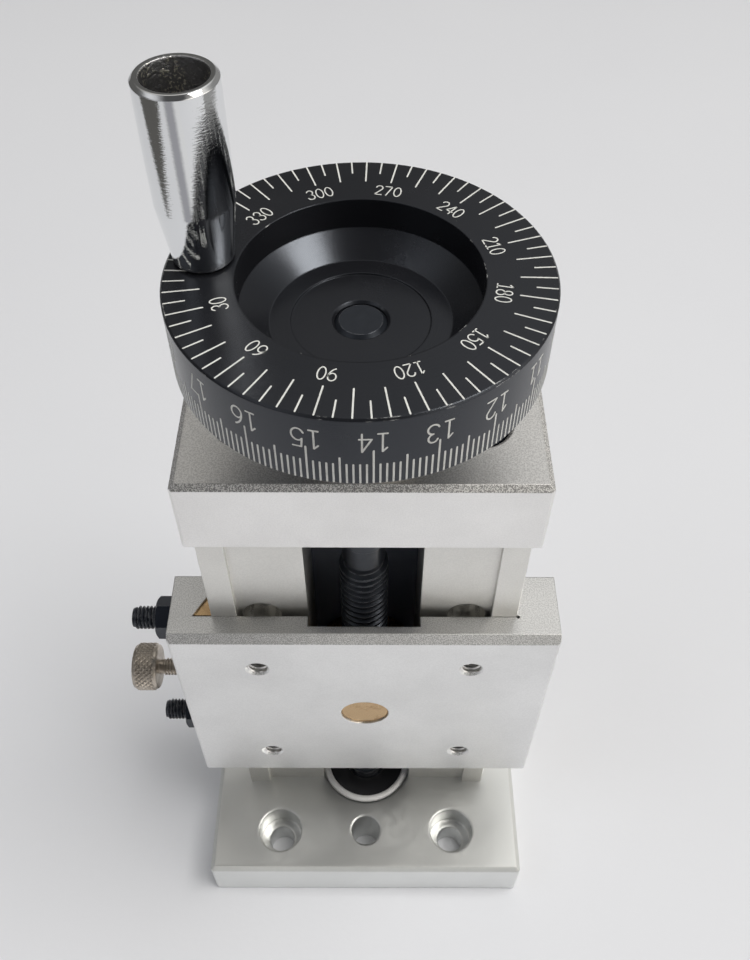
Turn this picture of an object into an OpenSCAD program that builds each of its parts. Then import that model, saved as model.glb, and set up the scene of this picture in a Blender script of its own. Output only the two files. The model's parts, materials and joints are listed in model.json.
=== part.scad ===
// Manual dovetail z-axis stage. A base plate carries an upright dovetail rail.
// A lead screw turns in the rail's slot and lifts a carriage, which a brass gib
// guides without play. A graduated handwheel with a revolving handle sits on top.
// Millimetres. The origin is on the screw axis, at the underside of the base.
// The front of the stage faces -Y and the lead screw runs along +Z.

/* [Travel] */
// How far the carriage rises from its rest height
travel_up = 30; // [10:1:60]
// How far the carriage sinks from its rest height
travel_down = 20; // [10:1:60]
// Room left above and below the carriage at the ends of its travel
stop_gap = 0.75; // [0.5:0.25:3]

/* [Base plate] */
// Width of the base plate
base_w = 80; // [72:1:120]
// Thickness of the base plate
base_t = 14.5; // [13:0.5:25]
// Distance from the screw axis to the front edge
base_front = 30; // [26:1:50]
// Spacing of the two counterbored mounting holes
base_hole_spacing = 45; // [30:1:60]
// Distance from the front edge to the row of holes
base_hole_edge = 10.4; // [8:0.1:13]
// Mounting hole, clear of an M6 screw
base_hole_d = 6.6; // [5:0.1:8]
// Counterbore for the screw's head
base_cbore_d = 11; // [9:0.5:14]
// Depth of the counterbore
base_cbore_depth = 6.8; // [4:0.2:9]
// Plain hole between the mounting holes, for a locating pin
pin_hole_d = 7.5; // [4:0.5:10]

/* [Rail] */
// Width of the rail across its front lands
rail_w = 62.5; // [56:0.5:68]
// Distance from the screw axis to the front lands
rail_front = 6.2; // [5:0.1:9]
// Distance from the screw axis to the back of the rail
rail_back = 18; // [16:0.5:30]
// Depth of the dovetail, from the lands to the body behind
dovetail_depth = 10.3; // [8:0.1:13]
// Slope of the dovetail flanks
dovetail_angle = 60; // [50:1:70]
// Flat left on the sharp front edges
edge_flat = 0.5; // [0.2:0.1:1]
// Width of each front land
land_w = 5.2; // [3:0.1:8]
// Depth of the relieved panel between the lands
land_relief = 1.2; // [0.3:0.1:1.5]
// Width of the slot that the screw runs in
slot_w = 23; // [21:0.5:28]
// Distance from the screw axis to the back of the slot
slot_back = 10.5; // [10.5:0.5:13]
// Thickness of the dark strip that lines the back of the slot
strip_t = 0.5; // [0.3:0.1:1]
// Spacing across of the rail's own mounting holes
rail_hole_x = 42; // [34:1:44]
// Spacing along the rail of its mounting holes
rail_hole_z = 53; // [30:1:80]
// Rail mounting hole, clear of an M4 screw
rail_hole_d = 4.5; // [3.4:0.1:5.5]
// Counterbore of the rail mounting holes
rail_cbore_d = 8; // [6:0.5:9]
// Depth of that counterbore below the relieved panel
rail_cbore_depth = 4.6; // [3:0.2:6]

/* [Carriage] */
// Width of the carriage
car_w = 80; // [78:1:110]
// Height of the carriage
car_h = 65; // [56:1:100]
// Thickness of the plate in front of the rail's lands
car_plate = 5.7; // [4.5:0.1:10]
// Depth of the jaws behind the rail's lands
jaw_depth = 9.7; // [8:0.1:9.9]
// Depth of the channel that clears the screw and nut
notch_depth = 2.4; // [1:0.1:3.5]
// Bevel on the upper and lower edges of the front
car_bevel = 1.6; // [0.3:0.1:2]
// Spacing across of the tapped holes in the front
car_hole_x = 45; // [30:1:60]
// Spacing along Z of the tapped holes in the front
car_hole_z = 41; // [28:1:48]
// Tapping size of those holes, for M5
car_hole_d = 4.2; // [3.3:0.1:5]
// Countersink at the mouth of those holes
car_hole_bevel = 0.5; // [0.2:0.1:1]

/* [Gib and side screws] */
// Thickness of the brass gib
gib_t = 3.2; // [2.5:0.1:4]
// How far the gib stops short of the carriage's ends
gib_recess = 0.6; // [0.2:0.1:2]
// Distance from the rail's lands back to the row of side screws
gib_screw_depth = 6; // [5:0.1:7]
// Distance from the middle screw to the outer ones
gib_screw_pitch = 22; // [14:0.5:26]
// Size of the gib's adjusting screws
gib_screw_d = 5; // [4:0.5:6]
// Bare end of an adjusting screw outside its nut
gib_screw_stub = 5.4; // [3:0.2:10]
// Width across flats of the lock nuts
lock_nut_af = 8; // [7:0.5:10]
// Thickness of the lock nuts
lock_nut_t = 4.7; // [3:0.1:6]
// Depth of the dimples in the gib
dimple_depth = 1.2; // [0.8:0.1:1.5]
// Size of the lock screw's shank
lock_screw_d = 4; // [3:0.5:5]
// Diameter of the lock screw's knob
knob_d = 11; // [8:0.5:16]
// Length of the knob
knob_len = 6.2; // [4:0.2:10]
// Bare shank between the carriage and the knob
knob_stand = 8; // [3:0.5:14]

/* [Lead screw and nut] */
// Outside diameter of the lead screw
screw_d = 10; // [9.5:0.5:12]
// Spare thread above the nut at the top of its travel
thread_spare = 5.7; // [0.8:0.1:8]
// Diameter of the screw's journals
journal_d = 8; // [7:0.5:9]
// Height of the shoulder under the upper bearings
shoulder_h = 0.7; // [0.4:0.1:1]
// Bevel at the ends of the thread and the shaft
shaft_bevel = 0.9; // [0.4:0.1:1.2]
// Diameter of the turned brass nut
nut_d = 20; // [17:0.5:20.5]
// Distance from the screw axis to the back of the nut
nut_back = 8.5; // [7:0.5:9.5]
// Diameter of the nut's stem, seen in the front of the carriage
nut_stem_d = 10.8; // [8:0.1:14]
// How far the stem's end lies below the front of the carriage
nut_stem_sink = 0.4; // [0:0.1:1]
// Bevel on the stem's front edge
nut_stem_bevel = 0.3; // [0.1:0.1:0.6]

/* [Bearing block] */
// Width of the block
block_w = 64; // [58:1:80]
// Height of the block
block_h = 17; // [15.5:0.5:24]
// Distance from the screw axis to the front of the block
block_front = 11; // [10.5:0.5:18]
// Distance of the block's screws behind the screw axis
block_screw_back = 3.8; // [3:0.1:5]
// Size of the block's socket cap screws
block_screw_d = 6; // [5:0.5:6]
// Head diameter of the block's screws
block_head_d = 10; // [8.5:0.1:10.5]
// Head height of the block's screws
block_head_h = 6; // [5:0.5:6.5]

/* [Screws in the ends of the rail] */
// Distance from the side of the rail in to the screws in its ends
end_screw_in = 11; // [10:0.1:13]
// Grip of those screws in the rail
cap_grip = 10; // [6:1:16]
// Bevel at the mouths of their holes
cap_mouth = 0.5; // [0.2:0.1:0.8]
// Distance of the front pair under the base behind the screw axis
base_screw_front = 0.8; // [0:0.1:3]
// Distance of the back pair under the base behind the screw axis
base_screw_back = 11.5; // [10:0.5:12]
// Size of the socket cap screws under the base
base_screw_d = 5; // [4:0.5:5]
// Head diameter of the screws under the base
base_head_d = 8.5; // [7:0.1:8.8]
// Head height of the screws under the base
base_head_h = 5; // [4:0.5:5.5]

/* [Bearings] */
// Outside diameter of the upper bearings
upper_od = 16; // [15:0.5:17]
// Width of each upper bearing
upper_width = 5; // [4:0.5:5]
// Shim gap between the two upper bearings
pair_gap = 0.2; // [0.1:0.1:0.5]
// Outside diameter of the lower bearing
lower_od = 24; // [20:0.5:26]
// Width of the lower bearing
lower_width = 8; // [5:0.5:8]
// Wall of the lower bearing's outer ring
lower_wall = 1.9; // [1.2:0.1:2.2]
// Bevel on the outer edges of that ring
lower_bevel = 0.8; // [0.3:0.1:1]
// Wall of the other bearing rings
ring_wall = 1.4; // [1:0.1:1.5]
// Thickness of a bearing seal
seal_t = 0.8; // [0.5:0.1:1.2]
// How far a seal lies below the face of its bearing
seal_sink = 0.3; // [0.1:0.1:0.4]
// Outside diameter of the ring that holds the upper bearings in
retainer_d = 18; // [17.5:0.5:20]
// Thickness of that ring
retainer_t = 3; // [2:0.25:4]

/* [Handwheel] */
// Diameter of the handwheel
wheel_d = 56.8; // [52:0.4:80]
// Thickness of the rim
wheel_t = 12.7; // [11:0.1:18]
// Diameter of the recess in the top
recess_d = 36; // [34:0.5:38]
// Depth of the recess's upright wall
recess_wall = 5.1; // [3:0.1:6]
// Diameter of the recess floor, at the foot of the cone
floor_d = 27.4; // [25:0.2:32]
// Depth of the recess floor below the dial
recess_depth = 8.5; // [7:0.1:9]
// Diameter of the fine step on the recess floor
step_d = 21; // [18:0.5:23]
// Diameter of the hub below the wheel
hub_d = 22; // [20:0.5:26]
// Length of the hub below the wheel
hub_len = 14.2; // [10:0.2:24]
// Diameter of the collar that clamps the upper bearings
collar_d = 17; // [16:0.5:22]
// Height of the collar
collar_h = 8; // [6:0.5:12]
// Size of the set screws in the hub and the collar
hub_screw_d = 4; // [3:0.5:5]

/* [Handle] */
// Distance from the wheel's axis to the handle's axis
handle_r = 23.1; // [22.5:0.1:23.5]
// Direction of the handle, from +X towards +Y
handle_angle = 170; // [0:1:359]
// Length of the handle
handle_len = 27.4; // [22:0.1:50]
// Diameter at the open end
handle_top_d = 11.4; // [10:0.1:16]
// Diameter at the widest part
handle_max_d = 11.5; // [11:0.1:17]
// Diameter at the foot
handle_foot_d = 9; // [8.4:0.1:10.5]
// Height of the cone at the foot
handle_cone_h = 9.5; // [5:0.5:14]
// Bore at the open end
handle_bore_d = 8.9; // [8.4:0.1:9.2]
// Depth of that bore
handle_bore_depth = 17; // [12:0.5:18]
// Shoulder of the bolt that the handle turns on
bolt_d = 6; // [5:0.5:6.5]
// Thread of that bolt
bolt_thread_d = 5; // [4:0.5:5]

/* [Fits] */
// Gap on the sliding faces of the dovetail
slide_gap = 0.03; // [0.01:0.01:0.08]
// Radial gap of a turning fit
turn_gap = 0.05; // [0.02:0.01:0.1]
// Gap between end faces that turn past each other
face_gap = 0.3; // [0.2:0.1:0.5]
// Bevel on the upper edges of the base and the block
edge_bevel = 1; // [0.3:0.1:1.5]
// Bevel on the upright corners of the base, the block and the carriage
corner_bevel = 0.6; // [0.2:0.1:1.2]
// Bevel on the lower edges of the base and the block
foot_bevel = 0.4; // [0.2:0.1:0.8]

/* [Hidden] */
$fn = 96;
// Overrun of a cutting tool past the face that it leaves
over = 1;
// Depth of a blind hole past the end of what sits in it
drill_past = 1;

// Finishes
aluminium = [0.78, 0.78, 0.77];
base_grey = [0.66, 0.67, 0.66];
black_anodised = [0.07, 0.07, 0.08];
black_oxide = [0.10, 0.10, 0.12];
brass = [0.80, 0.62, 0.30];
steel = [0.62, 0.61, 0.58];
chrome = [0.86, 0.87, 0.88];
bearing_steel = [0.74, 0.75, 0.76];
rubber = [0.05, 0.05, 0.06];

// Heights, from the underside of the base upwards
rail_len = travel_down + car_h + travel_up + 2 * stop_gap;
rail_top = base_t + rail_len;
block_top = rail_top + block_h;
car_z0 = base_t + stop_gap + travel_down;
car_mid = car_z0 + car_h / 2;
retainer_z = block_top - retainer_t;
pair_step = upper_width + pair_gap;
upper_z = retainer_z - upper_width - pair_step;
lower_z = base_t - lower_width;
collar_z = block_top + face_gap;
hub_z = collar_z + collar_h;
wheel_z = hub_z + hub_len;
wheel_top = wheel_z + wheel_t;
floor_z = wheel_top - recess_depth;
thread_top = car_mid + nut_d / 2 + travel_up + thread_spare;
thread_bottom = base_t + face_gap;
shaft_bottom = lower_z - drill_past;

// Dovetail section, seen from above
rail_hw = rail_w / 2;
flank_run = 1 / tan(dovetail_angle);
y_land = -rail_front;
y_neck = y_land + dovetail_depth;
y_flank = y_land + edge_flat;
neck_hw = rail_hw - (y_neck - y_flank) * flank_run;
gib_across = (gib_t + 2 * slide_gap) / sin(dovetail_angle);
flank_gap = slide_gap / sin(dovetail_angle);
// Half width of the rail at a given depth
function rail_x(y) = rail_hw - (y - y_flank) * flank_run;

// Carriage section
y_floor = y_land - slide_gap;
y_front = y_land - car_plate;
y_jaw = y_land + jaw_depth;
y_notch = y_land - notch_depth;
y_side = y_land + gib_screw_depth;
side_x = -car_w / 2;
// Inner face of the left jaw, which backs the gib, and of the right jaw
function left_jaw_x(y) = -rail_x(y) - gib_across;
function right_jaw_x(y) = rail_x(y) + flank_gap;
corner_relief_r = 0.35;

// Side screws
point_step = 0.4;
dimple_d = lock_screw_d - point_step;
dimple_x = left_jaw_x(y_side) + flank_gap / 2 + dimple_depth;
point_len = 3;
gib_screw_z = [car_mid - gib_screw_pitch, car_mid + gib_screw_pitch];
// Room between the gib and the back of the jaws
gib_back_gap = 0.3;

// Hexagon sockets: depth as a share of the head, width as a share of the screw's size
socket_share = 0.5;
cap_socket_share = 0.8;
set_socket_share = 0.5;
bolt_socket_w = bolt_d * 0.7;

// Socket cap screws
cap_clear = 0.5;
cap_sink = 0.5;
block_seat = block_head_h + cap_sink;
base_seat = base_head_h + cap_sink;
end_screw_x = rail_hw - end_screw_in;
block_screws_at = [for (s = [-1, 1]) [s * end_screw_x, block_screw_back]];
base_screws_at = [for (s = [-1, 1], y = [base_screw_front, base_screw_back]) [s * end_screw_x, y]];

// Set screws lie just below the surface and end in a thinner tip
set_sink = 0.5;
set_tip_d = hub_screw_d * 0.7;
set_tip_len = 1;
// Hub set screws stand a quarter turn apart
hub_screw_z = hub_z + hub_len / 2;
hub_screw_turns = [0, 90];
collar_screw_z = collar_z + collar_h / 2;

// Handle
handle_at = [handle_r * cos(handle_angle), handle_r * sin(handle_angle)];
sleeve_z = wheel_top + face_gap;
head_clear = 0.3;
bolt_head_d = handle_bore_d - 2 * head_clear;
bolt_head_h = 5;
bolt_head_z = sleeve_z + handle_len - handle_bore_depth + face_gap;
bolt_floor = 3;
bolt_grip = wheel_t - bolt_floor;
rim_wall = (handle_top_d - handle_bore_d) / 2;

// Outline of a rectangle with bevelled corners, low ones and high ones apart
function bevelled(x0, y0, x1, y1, low, high) = concat(
    low > 0 ? [[x0, y0 + low], [x0 + low, y0], [x1 - low, y0], [x1, y0 + low]] : [[x0, y0], [x1, y0]],
    high > 0 ? [[x1, y1 - high], [x1 - high, y1], [x0 + high, y1], [x0, y1 - high]] : [[x1, y1], [x0, y1]]
);

// A block with bevelled upright corners, foot and top
module bevelled_block(lo, hi) {
    intersection() {
        translate([0, 0, lo.z])
            linear_extrude(hi.z - lo.z)
                polygon(bevelled(lo.x, lo.y, hi.x, hi.y, corner_bevel, corner_bevel));
        translate([0, hi.y, 0])
            rotate([90, 0, 0])
                linear_extrude(hi.y - lo.y)
                    polygon(bevelled(lo.x, lo.z, hi.x, hi.z, foot_bevel, edge_bevel));
        translate([lo.x, 0, 0])
            rotate([90, 0, 90])
                linear_extrude(hi.x - lo.x)
                    polygon(bevelled(lo.y, lo.z, hi.y, hi.z, foot_bevel, edge_bevel));
    }
}

// A ring standing on z = 0
module ring(od, id, h) {
    difference() {
        cylinder(d = od, h = h);
        translate([0, 0, -over]) cylinder(d = id, h = h + 2 * over);
    }
}

// A ring standing on z = 0, with its outer edges bevelled
module bevelled_ring(od, id, h, bevel) {
    rotate_extrude()
        polygon([
            [id / 2, 0], [od / 2 - bevel, 0], [od / 2, bevel],
            [od / 2, h - bevel], [od / 2 - bevel, h], [id / 2, h]
        ]);
}

// A hexagon prism standing on z = 0
module hexagon(across_flats, h) {
    cylinder(d = across_flats / cos(30), h = h, $fn = 6);
}

// A socket cap screw whose head stands on z = 0, with its shank below
module cap_screw(d, head_d, head_h, length) {
    socket_depth = head_h * socket_share;
    difference() {
        union() {
            cylinder(d = head_d, h = head_h);
            translate([0, 0, -length]) cylinder(d = d, h = length + over);
        }
        translate([0, 0, head_h - socket_depth]) hexagon(d * cap_socket_share, socket_depth + over);
    }
}

// Seat, bevelled mouth and clearance hole of a cap screw, cut downwards from z = 0
module cap_hole(d, head_d, head_h, depth) {
    seat = head_h + cap_sink;
    seat_d = head_d + 2 * cap_clear;
    mouth_h = cap_mouth + over;
    translate([0, 0, -seat]) cylinder(d = seat_d, h = seat + over);
    translate([0, 0, -cap_mouth]) cylinder(d1 = seat_d, d2 = seat_d + 2 * mouth_h, h = mouth_h);
    translate([0, 0, -depth - over]) cylinder(d = d + cap_clear, h = depth + over);
}

// A headless set screw along +X, with its socket at the low end and its tip at x = 0
module set_screw(d, length, tip_d, tip_len) {
    socket_depth = d * socket_share;
    rotate([0, -90, 0])
        difference() {
            union() {
                cylinder(d = tip_d, h = tip_len + over);
                translate([0, 0, tip_len]) cylinder(d = d, h = length - tip_len);
            }
            translate([0, 0, length - socket_depth]) hexagon(d * set_socket_share, socket_depth + over);
        }
}

// Something repeated at each tapped hole of the carriage front
module at_car_holes() {
    for (sx = [-1, 1], sz = [-1, 1])
        translate([sx * car_hole_x / 2, y_front, car_mid + sz * car_hole_z / 2])
            rotate([-90, 0, 0])
                children();
}

// Something repeated at each mounting hole of the rail, pointing backwards
module at_rail_holes() {
    for (sx = [-1, 1], sz = [-1, 1])
        translate([sx * rail_hole_x / 2, y_land + land_relief, base_t + (rail_len + sz * rail_hole_z) / 2])
            rotate([-90, 0, 0])
                children();
}

// Seals just inside both faces of a bearing that stands on z = 0
module seal_pair(outer_d, width) {
    for (z = [seal_sink, width - seal_t - seal_sink])
        translate([0, 0, z])
            ring(outer_d, journal_d + 2 * ring_wall + 2 * turn_gap, seal_t);
}

// Base plate with its two counterbored holes, the pin hole and the bearing pocket
module base_plate() {
    hole_y = base_hole_edge - base_front;
    pocket_relief = lower_od - 2 * lower_wall;
    color(base_grey)
        difference() {
            bevelled_block([-base_w / 2, -base_front, 0], [base_w / 2, rail_back, base_t]);
            for (s = [-1, 1])
                translate([s * base_hole_spacing / 2, hole_y, 0]) {
                    translate([0, 0, -over]) cylinder(d = base_hole_d, h = base_t + 2 * over);
                    translate([0, 0, base_t - base_cbore_depth])
                        cylinder(d = base_cbore_d, h = base_cbore_depth + over);
                }
            translate([0, hole_y, -over]) cylinder(d = pin_hole_d, h = base_t + 2 * over);
            translate([0, 0, lower_z]) cylinder(d = lower_od, h = lower_width + over);
            translate([0, 0, shaft_bottom - drill_past]) cylinder(d = pocket_relief, h = base_t);
            for (at = base_screws_at)
                translate([at.x, at.y, 0])
                    rotate([180, 0, 0]) cap_hole(base_screw_d, base_head_d, base_head_h, base_t);
        }
}

// Upright dovetail rail with its lands, slot and mounting holes
module rail() {
    slot_hw = slot_w / 2;
    land_x = rail_hw - land_w;
    screw_hole = cap_grip + drill_past;
    y_panel = y_land + land_relief;
    right_half = [
        [slot_hw, slot_back], [slot_hw, y_panel], [land_x, y_panel], [land_x, y_land],
        [rail_hw, y_land], [rail_hw, y_flank], [neck_hw, y_neck], [rail_hw, y_neck], [rail_hw, rail_back]
    ];
    left_half = [for (i = [len(right_half) - 1:-1:0]) [-right_half[i].x, right_half[i].y]];
    color(aluminium)
        difference() {
            translate([0, 0, base_t]) linear_extrude(rail_len) polygon(concat(right_half, left_half));
            at_rail_holes() {
                translate([0, 0, -over]) cylinder(d = rail_cbore_d, h = rail_cbore_depth + over);
                cylinder(d = rail_hole_d, h = rail_back + rail_front + over);
            }
            for (at = block_screws_at)
                translate([at.x, at.y, rail_top - screw_hole])
                    cylinder(d = block_screw_d, h = screw_hole + over);
            for (at = base_screws_at)
                translate([at.x, at.y, base_t - over]) cylinder(d = base_screw_d, h = screw_hole + over);
        }
}

// Dark strip lining the back of the slot
module slot_strip() {
    color(black_anodised)
        translate([-slot_w / 2, slot_back - strip_t, base_t])
            cube([slot_w, strip_t, rail_len]);
}

// Block at the top of the rail, bored for the two upper bearings
module bearing_block() {
    shoulder_bore = upper_od - 2 * ring_wall;
    color(aluminium)
        difference() {
            bevelled_block([-block_w / 2, -block_front, rail_top], [block_w / 2, rail_back, block_top]);
            translate([0, 0, rail_top - over]) cylinder(d = shoulder_bore, h = block_h + 2 * over);
            translate([0, 0, upper_z]) cylinder(d = upper_od, h = block_h);
            translate([0, 0, retainer_z]) cylinder(d = retainer_d, h = retainer_t + over);
            for (at = block_screws_at)
                translate([at.x, at.y, block_top])
                    cap_hole(block_screw_d, block_head_d, block_head_h, block_h);
        }
}

// Outer rings of the pair of upper bearings
module upper_outer_rings() {
    color(bearing_steel)
        for (i = [0, 1])
            translate([0, 0, upper_z + i * pair_step])
                ring(upper_od, upper_od - 2 * ring_wall, upper_width);
}

// Seals of the pair of upper bearings
module upper_seals() {
    color(rubber)
        for (i = [0, 1])
            translate([0, 0, upper_z + i * pair_step])
                seal_pair(upper_od - 2 * ring_wall, upper_width);
}

// Inner rings of the pair of upper bearings
module upper_inner_rings() {
    color(bearing_steel)
        for (i = [0, 1])
            translate([0, 0, upper_z + i * pair_step])
                ring(journal_d + 2 * ring_wall, journal_d, upper_width);
}

// Threaded ring over the upper bearings, with two holes for a pin spanner
module bearing_retainer() {
    bore_d = upper_od - 2 * ring_wall;
    pin_d = (retainer_d - bore_d) / 4;
    color(steel)
        translate([0, 0, retainer_z])
            difference() {
                ring(retainer_d, bore_d, retainer_t);
                for (s = [-1, 1])
                    translate([s * (retainer_d + bore_d) / 4, 0, retainer_t / 2])
                        cylinder(d = pin_d, h = retainer_t);
            }
}

// Outer ring of the lower bearing, flush with the base
module lower_outer_ring() {
    color(bearing_steel)
        translate([0, 0, lower_z])
            bevelled_ring(lower_od, lower_od - 2 * lower_wall, lower_width, lower_bevel);
}

// Seals of the lower bearing
module lower_seals() {
    color(rubber)
        translate([0, 0, lower_z]) seal_pair(lower_od - 2 * lower_wall, lower_width);
}

// Inner ring of the lower bearing
module lower_inner_ring() {
    color(bearing_steel)
        translate([0, 0, lower_z]) ring(journal_d + 2 * ring_wall, journal_d, lower_width);
}

// Cap screws that hold the block to the top of the rail
module block_screws() {
    color(black_oxide)
        for (at = block_screws_at)
            translate([at.x, at.y, block_top - block_seat])
                cap_screw(block_screw_d, block_head_d, block_head_h, block_h - block_seat + cap_grip);
}

// Cap screws that hold the base to the foot of the rail
module base_screws() {
    color(black_oxide)
        for (at = base_screws_at)
            translate([at.x, at.y, base_seat])
                rotate([180, 0, 0])
                    cap_screw(base_screw_d, base_head_d, base_head_h, base_t - base_seat + cap_grip);
}

// Lead screw: lower journal, thread, plain neck, upper journal and shaft end
module lead_screw() {
    journal_r = journal_d / 2;
    screw_r = screw_d / 2;
    neck_r = journal_r + shoulder_h;
    bevel = shaft_bevel;
    color(black_oxide)
        rotate_extrude()
            polygon([
                [0, shaft_bottom], [journal_r - bevel, shaft_bottom], [journal_r, shaft_bottom + bevel],
                [journal_r, thread_bottom], [screw_r - bevel, thread_bottom],
                [screw_r, thread_bottom + bevel],
                [screw_r, thread_top - bevel], [screw_r - bevel, thread_top], [neck_r, thread_top],
                [neck_r, upper_z], [journal_r, upper_z],
                [journal_r, floor_z - bevel], [journal_r - bevel, floor_z], [0, floor_z]
            ]);
}

// Collar that clamps the inner rings against the screw's shoulder
module lock_collar() {
    nose_d = journal_d + 2 * ring_wall;
    color(steel)
        difference() {
            union() {
                translate([0, 0, retainer_z]) cylinder(d = nose_d, h = hub_z - retainer_z);
                translate([0, 0, collar_z]) cylinder(d = collar_d, h = collar_h);
            }
            translate([0, 0, retainer_z - over]) cylinder(d = journal_d, h = hub_z - retainer_z + 2 * over);
            translate([0, 0, collar_screw_z]) rotate([0, 90, 0]) cylinder(d = hub_screw_d, h = collar_d);
        }
}

// Set screw of the collar
module collar_screw() {
    color(black_oxide)
        translate([journal_d / 2, 0, collar_screw_z])
            rotate([0, 0, 180])
                set_screw(hub_screw_d, (collar_d - journal_d) / 2 - set_sink, set_tip_d, set_tip_len);
}

// Handwheel: graduated rim, stepped recess, web and hub
module handwheel() {
    rim_r = wheel_d / 2;
    rim_bevel = 0.3;
    step_t = 0.25;
    bore_bevel = 0.4;
    bolt_hole = bolt_grip + drill_past;
    journal_r = journal_d / 2;
    color(black_anodised)
        difference() {
            rotate_extrude()
                polygon([
                    [journal_r, hub_z], [hub_d / 2, hub_z], [hub_d / 2, wheel_z],
                    [rim_r - rim_bevel, wheel_z], [rim_r, wheel_z + rim_bevel],
                    [rim_r, wheel_top - rim_bevel], [rim_r - rim_bevel, wheel_top],
                    [recess_d / 2, wheel_top], [recess_d / 2, wheel_top - recess_wall],
                    [floor_d / 2, floor_z + step_t], [step_d / 2, floor_z + step_t], [step_d / 2, floor_z],
                    [journal_r + bore_bevel, floor_z], [journal_r, floor_z - bore_bevel]
                ]);
            translate([handle_at.x, handle_at.y, wheel_top - bolt_hole])
                cylinder(d = bolt_thread_d, h = bolt_hole + over);
            for (turn = hub_screw_turns)
                rotate([0, 0, turn])
                    translate([0, 0, hub_screw_z]) rotate([0, 90, 0]) cylinder(d = hub_screw_d, h = hub_d);
        }
}

// Set screws that hold the handwheel's hub to the shaft
module hub_screws() {
    color(black_oxide)
        for (turn = hub_screw_turns)
            rotate([0, 0, turn])
                translate([journal_d / 2, 0, hub_screw_z])
                    rotate([0, 0, 180])
                        set_screw(hub_screw_d, (hub_d - journal_d) / 2 - set_sink, set_tip_d, set_tip_len);
}

// Shoulder bolt that the handle turns on, screwed into the rim
module handle_bolt() {
    socket_depth = bolt_head_h * socket_share;
    color(steel)
        translate([handle_at.x, handle_at.y, 0])
            difference() {
                union() {
                    translate([0, 0, wheel_top - bolt_grip])
                        cylinder(d = bolt_thread_d, h = bolt_grip + over);
                    translate([0, 0, wheel_top]) cylinder(d = bolt_d, h = bolt_head_z - wheel_top + over);
                    translate([0, 0, bolt_head_z]) cylinder(d = bolt_head_d, h = bolt_head_h);
                }
                translate([0, 0, bolt_head_z + bolt_head_h - socket_depth])
                    hexagon(bolt_socket_w, socket_depth + over);
            }
}

// Chromed sleeve with a coned foot, a slight barrel and a rounded open rim
module handle_sleeve() {
    bore_r = handle_bore_d / 2;
    inner_r = bolt_d / 2 + turn_gap;
    rim_r = rim_wall / 2;
    rim_z = handle_len - rim_r;
    seat_z = handle_len - handle_bore_depth;
    color(chrome)
        translate([handle_at.x, handle_at.y, sleeve_z])
            rotate_extrude()
                union() {
                    polygon([
                        [inner_r, 0], [handle_foot_d / 2, 0], [handle_max_d / 2, handle_cone_h],
                        [handle_max_d / 2, (handle_cone_h + rim_z) / 2], [handle_top_d / 2, rim_z],
                        [bore_r, rim_z], [bore_r, seat_z], [inner_r, seat_z]
                    ]);
                    translate([bore_r + rim_r, rim_z]) circle(r = rim_r, $fn = 48);
                }
}

// Carriage: front plate, dovetail jaws, screw channel and tapped holes
module carriage_plate() {
    half_w = car_w / 2;
    notch_hw = slot_w / 2;
    outline = [
        [-half_w + corner_bevel, y_front], [half_w - corner_bevel, y_front], [half_w, y_front + corner_bevel],
        [half_w, y_jaw], [right_jaw_x(y_jaw), y_jaw], [right_jaw_x(y_floor), y_floor],
        [notch_hw, y_floor], [notch_hw, y_notch], [-notch_hw, y_notch], [-notch_hw, y_floor],
        [left_jaw_x(y_floor), y_floor], [left_jaw_x(y_jaw), y_jaw], [-half_w, y_jaw],
        [-half_w, y_front + corner_bevel]
    ];
    side_view = [
        [y_front, car_bevel], [y_front + car_bevel, 0], [y_jaw, 0], [y_jaw, car_h],
        [y_front + car_bevel, car_h], [y_front, car_h - car_bevel]
    ];
    color(aluminium)
        difference() {
            translate([0, 0, car_z0])
                intersection() {
                    linear_extrude(car_h) polygon(outline);
                    translate([side_x, 0, 0])
                        rotate([90, 0, 90]) linear_extrude(car_w) polygon(side_view);
                }
            translate([right_jaw_x(y_floor), y_floor, car_z0 - over])
                cylinder(r = corner_relief_r, h = car_h + 2 * over);
            at_car_holes() {
                translate([0, 0, -over]) cylinder(d = car_hole_d, h = car_plate + 2 * over);
                cylinder(d1 = car_hole_d + 2 * car_hole_bevel, d2 = car_hole_d, h = car_hole_bevel);
            }
            translate([0, y_front - over, car_mid])
                rotate([-90, 0, 0]) cylinder(d = nut_stem_d, h = car_plate + over);
            for (z = gib_screw_z)
                translate([side_x - over, y_side, z])
                    rotate([0, 90, 0]) cylinder(d = gib_screw_d, h = dimple_x - side_x + over);
            translate([side_x - over, y_side, car_mid])
                rotate([0, 90, 0]) cylinder(d = lock_screw_d + 2 * turn_gap, h = dimple_x - side_x + over);
        }
}

// Brass gib between the left jaw and the rail's left flank
module gib() {
    y0 = y_land + edge_flat;
    y1 = y_jaw - gib_back_gap;
    back = flank_gap / 2;
    outline = [
        [left_jaw_x(y0) + back, y0], [-rail_x(y0) - flank_gap, y0],
        [-rail_x(y1) - flank_gap, y1], [left_jaw_x(y1) + back, y1]
    ];
    color(brass)
        difference() {
            translate([0, 0, car_z0 + gib_recess]) linear_extrude(car_h - 2 * gib_recess) polygon(outline);
            for (z = concat(gib_screw_z, car_mid))
                translate([dimple_x, y_side, z])
                    rotate([0, -90, 0]) cylinder(d = dimple_d, h = 2 * dimple_depth + over);
        }
}

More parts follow.
